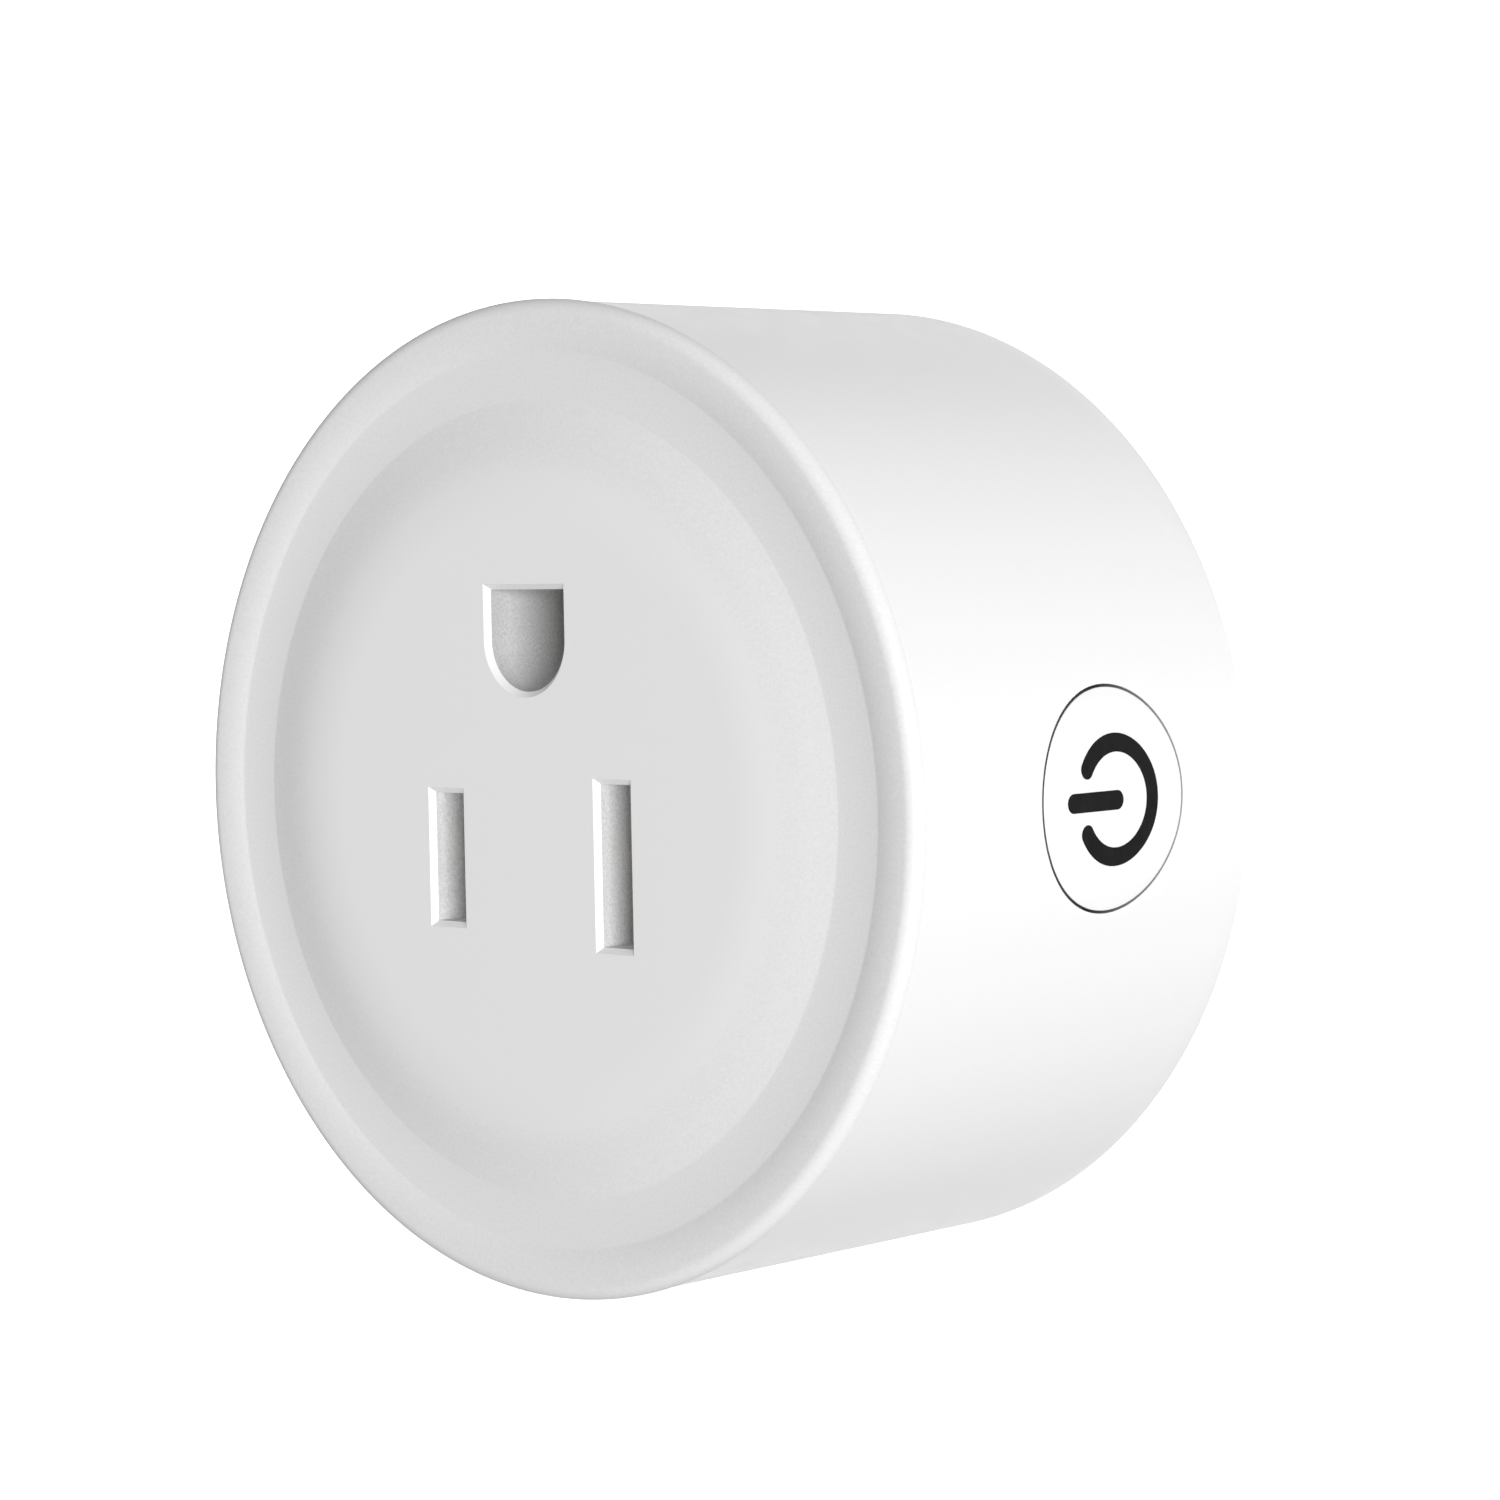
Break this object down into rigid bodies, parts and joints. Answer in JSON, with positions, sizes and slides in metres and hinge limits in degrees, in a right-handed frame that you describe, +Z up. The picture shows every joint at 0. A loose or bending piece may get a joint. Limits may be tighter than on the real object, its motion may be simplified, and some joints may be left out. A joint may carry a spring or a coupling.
{
  "type": "smart plug",
  "caption": "Round white smart plug: a grounded wall plug with a matching grounded socket in its face and a push button in its side that switches the socket through an inner relay.",
  "frame": {"origin": "centre of the flat rear face that meets the wall plate, where the wall pins come out", "axes": "+Z up (ground hole above the two slots); the socket faces -Y into the room and the wall pins point along +Y into the wall; the button is in the +X side"},
  "size_m": [0.0538, 0.0496, 0.0538],
  "materials": {
    "gloss_white_plastic": "smooth, softly glossy moulded white",
    "matt_white_plastic": "finely textured satin white",
    "cover_white_plastic": "satin moulded white",
    "plated_brass": "polished, nickel-washed brass",
    "contact_bronze": "stamped spring bronze",
    "screw_steel": "zinc-plated steel",
    "shield_metal": "tinned sheet metal",
    "relay_iron": "nickel-plated soft iron",
    "carrier_plastic": "glass-filled nylon, off-white",
    "green_laminate": "green solder mask on glass-epoxy laminate",
    "blue_laminate": "dark blue solder mask on glass-epoxy laminate",
    "capacitor_sleeve": "shrunk dark sleeve",
    "film_capacitor_case": "yellow moulded box",
    "varistor_coating": "blue epoxy dip",
    "fuse_case": "brown moulded box",
    "ferrite": "sintered ferrite, dark grey",
    "copper_wire": "enamelled copper wire",
    "relay_plastic": "black moulded case",
    "bobbin_plastic": "natural nylon",
    "chip_epoxy": "black moulding epoxy",
    "led_lens": "milky lens"
  },
  "bodies": {
    "plug_body": {"housing": "gloss_white_plastic", "faceplate": "matt_white_plastic", "rear_cover": "cover_white_plastic", "cover_screw_1": "screw_steel", "cover_screw_2": "screw_steel", "cover_screw_3": "screw_steel", "carrier_screw_1": "screw_steel", "carrier_screw_2": "screw_steel", "line_blade": "plated_brass", "neutral_blade": "plated_brass", "ground_pin": "plated_brass", "contact_carrier": "carrier_plastic", "line_contact": "contact_bronze", "neutral_contact": "contact_bronze", "ground_contact": "contact_bronze", "main_board": "green_laminate", "control_board": "green_laminate", "radio_module": "blue_laminate", "radio_shield": "shield_metal", "bulk_capacitor_1": "capacitor_sleeve", "bulk_capacitor_2": "capacitor_sleeve", "output_capacitor": "capacitor_sleeve", "filter_choke_core": "ferrite", "power_inductor_core": "ferrite", "filter_choke_winding": "copper_wire", "power_inductor_winding": "copper_wire", "relay_winding": "copper_wire", "noise_capacitor": "film_capacitor_case", "varistor": "varistor_coating", "fuse": "fuse_case", "bridge_rectifier": "chip_epoxy", "power_regulator": "chip_epoxy", "relay_case": "relay_plastic", "relay_base": "relay_plastic", "relay_bobbin": "bobbin_plastic", "relay_yoke": "relay_iron", "relay_fixed_contact": "contact_bronze", "relay_coil_pin_1": "screw_steel", "relay_coil_pin_2": "screw_steel", "switch_housing": "chip_epoxy", "switch_cover": "shield_metal", "switch_dome": "shield_metal", "status_led": "led_lens"},
    "button": {"power_button": "gloss_white_plastic"},
    "switch_key": {"switch_plunger": "chip_epoxy"},
    "relay_flap": {"relay_armature": "relay_iron", "relay_contact_spring": "contact_bronze"}
  },
  "joints": [
    {"name": "button_press", "type": "slide", "parent": "plug_body", "child": "button", "axis": [-1, 0, 0], "range_m": [0, 0.0004], "stiffness_N_per_m": 5000, "springref_m": -0.0001},
    {"name": "switch_press", "type": "slide", "parent": "plug_body", "child": "switch_key", "axis": [-1, 0, 0], "range_m": [0, 0.0004]},
    {"name": "relay_pull_in", "type": "hinge", "parent": "plug_body", "child": "relay_flap", "pos_m": [0.008, -0.01775, -0.0161], "axis": [0, 0, 1], "range_deg": [-4, 0], "stiffness_Nm_per_rad": 0.06, "springref_deg": 3.44}
  ],
  "couplings": [
    {"joint": "switch_press", "follows": "button_press", "ratio": 1}
  ]
}
